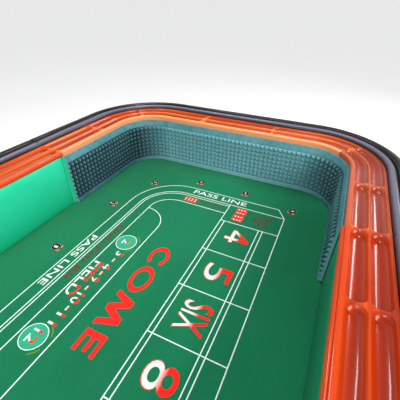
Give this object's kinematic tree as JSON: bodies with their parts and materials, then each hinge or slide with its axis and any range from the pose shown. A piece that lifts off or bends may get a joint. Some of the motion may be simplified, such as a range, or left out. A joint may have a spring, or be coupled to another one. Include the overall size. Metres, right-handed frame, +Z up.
{
  "type": "craps table",
  "caption": "Double-ended casino craps table: felt layout in a rubber-lined tub, wooden chip rail, padded armrest, turned legs with levelling feet and a cash drop.",
  "frame": {"origin": "on the floor under the middle of the table", "axes": "+X along the table's length, +Y to the dealers' side, +Z up"},
  "size_m": [3.6388, 1.2868, 0.948],
  "materials": {
    "deck_plywood": "matte",
    "layout_cloth": "matte printed cloth",
    "apron_wood": "satin lacquer",
    "green_vinyl": "satin vinyl",
    "rail_wood": "gloss lacquer",
    "bumper_rubber": "matte moulded",
    "subrail_plywood": "matte",
    "black_vinyl": "grained vinyl",
    "frame_wood": "matte",
    "leg_wood": "satin lacquer",
    "zinc_steel": "zinc plated",
    "slot_brass": "brushed",
    "chute_steel": "satin",
    "box_steel": "textured powder coat",
    "clear_acrylic": "polished"
  },
  "bodies": {
    "table": {"deck_panel_left": "deck_plywood", "deck_panel_right": "deck_plywood", "layout_felt": "layout_cloth", "wall_end_left": "apron_wood", "wall_end_right": "apron_wood", "wall_corner_left_player": "apron_wood", "wall_corner_left_dealer": "apron_wood", "wall_corner_right_player": "apron_wood", "wall_corner_right_dealer": "apron_wood", "wall_player": "apron_wood", "wall_dealer": "apron_wood", "vinyl_panel_player": "green_vinyl", "vinyl_panel_dealer": "green_vinyl", "trim_strips": "green_vinyl", "panel_cap_player": "rail_wood", "panel_cap_dealer": "rail_wood", "rail_end_left": "rail_wood", "rail_end_right": "rail_wood", "rail_elbow_left_player": "rail_wood", "rail_elbow_left_dealer": "rail_wood", "rail_elbow_right_player": "rail_wood", "rail_elbow_right_dealer": "rail_wood", "rail_turn_left_player": "rail_wood", "rail_turn_left_dealer": "rail_wood", "rail_turn_right_player": "rail_wood", "rail_turn_right_dealer": "rail_wood", "rail_player": "rail_wood", "rail_dealer": "rail_wood", "rubber_bumper_left": "bumper_rubber", "rubber_bumper_right": "bumper_rubber", "subrail_left": "subrail_plywood", "subrail_right": "subrail_plywood", "subrail_player": "subrail_plywood", "subrail_dealer": "subrail_plywood", "armrest_left": "black_vinyl", "armrest_right": "black_vinyl", "armrest_player": "black_vinyl", "armrest_dealer": "black_vinyl", "rail_brackets": "apron_wood", "base_moulding_left": "apron_wood", "base_moulding_right": "apron_wood", "base_moulding_player": "apron_wood", "base_moulding_dealer": "apron_wood", "beam_player": "frame_wood", "beam_dealer": "frame_wood", "cross_beams": "frame_wood", "leg_left_player": "leg_wood", "leg_left_dealer": "leg_wood", "leg_right_player": "leg_wood", "leg_right_dealer": "leg_wood", "leg_bolts": "zinc_steel", "bill_slot_plate": "slot_brass", "bill_chute": "chute_steel", "drop_box_runners": "chute_steel"},
    "levelling_foot_left_player": {"foot_left_player": "zinc_steel"},
    "levelling_foot_left_dealer": {"foot_left_dealer": "zinc_steel"},
    "levelling_foot_right_player": {"foot_right_player": "zinc_steel"},
    "levelling_foot_right_dealer": {"foot_right_dealer": "zinc_steel"},
    "drop_box": {"drop_box": "box_steel"},
    "paddle": {"bill_paddle": "clear_acrylic"}
  },
  "joints": [
    {"name": "foot_screw_left_player", "type": "slide", "parent": "table", "child": "levelling_foot_left_player", "axis": [0, 0, -1], "range_m": [0, 0.02]},
    {"name": "foot_screw_left_dealer", "type": "slide", "parent": "table", "child": "levelling_foot_left_dealer", "axis": [0, 0, -1], "range_m": [0, 0.02]},
    {"name": "foot_screw_right_player", "type": "slide", "parent": "table", "child": "levelling_foot_right_player", "axis": [0, 0, -1], "range_m": [0, 0.02]},
    {"name": "foot_screw_right_dealer", "type": "slide", "parent": "table", "child": "levelling_foot_right_dealer", "axis": [0, 0, -1], "range_m": [0, 0.02]},
    {"name": "drop_box_slide", "type": "slide", "parent": "table", "child": "drop_box", "axis": [0, 1, 0], "range_m": [0, 0.14]},
    {"name": "paddle_lift", "type": "slide", "parent": "table", "child": "paddle", "axis": [0, 0, 1], "range_m": [0, 0.09]}
  ]
}
